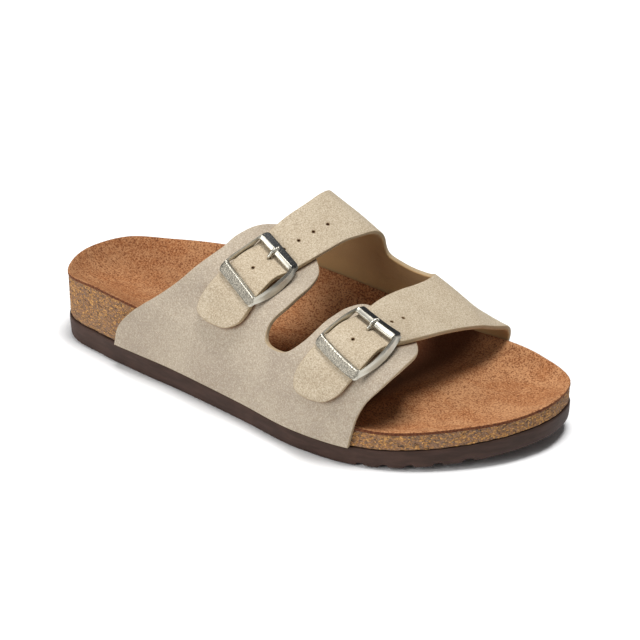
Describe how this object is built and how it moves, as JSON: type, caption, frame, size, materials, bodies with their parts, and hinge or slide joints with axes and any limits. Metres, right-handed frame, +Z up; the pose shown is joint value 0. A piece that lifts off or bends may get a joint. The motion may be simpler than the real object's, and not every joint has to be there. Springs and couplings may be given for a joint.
{
  "type": "sandal",
  "caption": "Right-foot open sandal: suede quarters close over the instep with buckled straps, on a dished cork footbed and a dark flat outsole with cross grooves.",
  "frame": {"origin": "middle of the sandal's box on the floor that the outsole stands on", "axes": "+X from the heel to the toe, +Y to the medial (big-toe) side, +Z up"},
  "size_m": [0.2672, 0.111, 0.0927],
  "materials": {
    "outsole": "matte dark brown foam rubber",
    "footbed": "pressed granulated cork, bare sides",
    "insole": "tan suede, napped",
    "upper_lateral": "beige suede, napped",
    "upper_medial": "beige suede, napped",
    "buckle_rear": "silver plated casting, worn polish",
    "buckle_front": "silver plated casting, worn polish",
    "prong_rear": "silver plated pin",
    "prong_front": "silver plated pin"
  },
  "bodies": {
    "root": {"outsole": "outsole", "footbed": "footbed", "insole": "insole", "upper_lateral": "upper_lateral", "upper_medial": "upper_medial", "buckle_rear": "buckle_rear", "buckle_front": "buckle_front", "prong_rear": "prong_rear", "prong_front": "prong_front"}
  },
  "joints": []
}
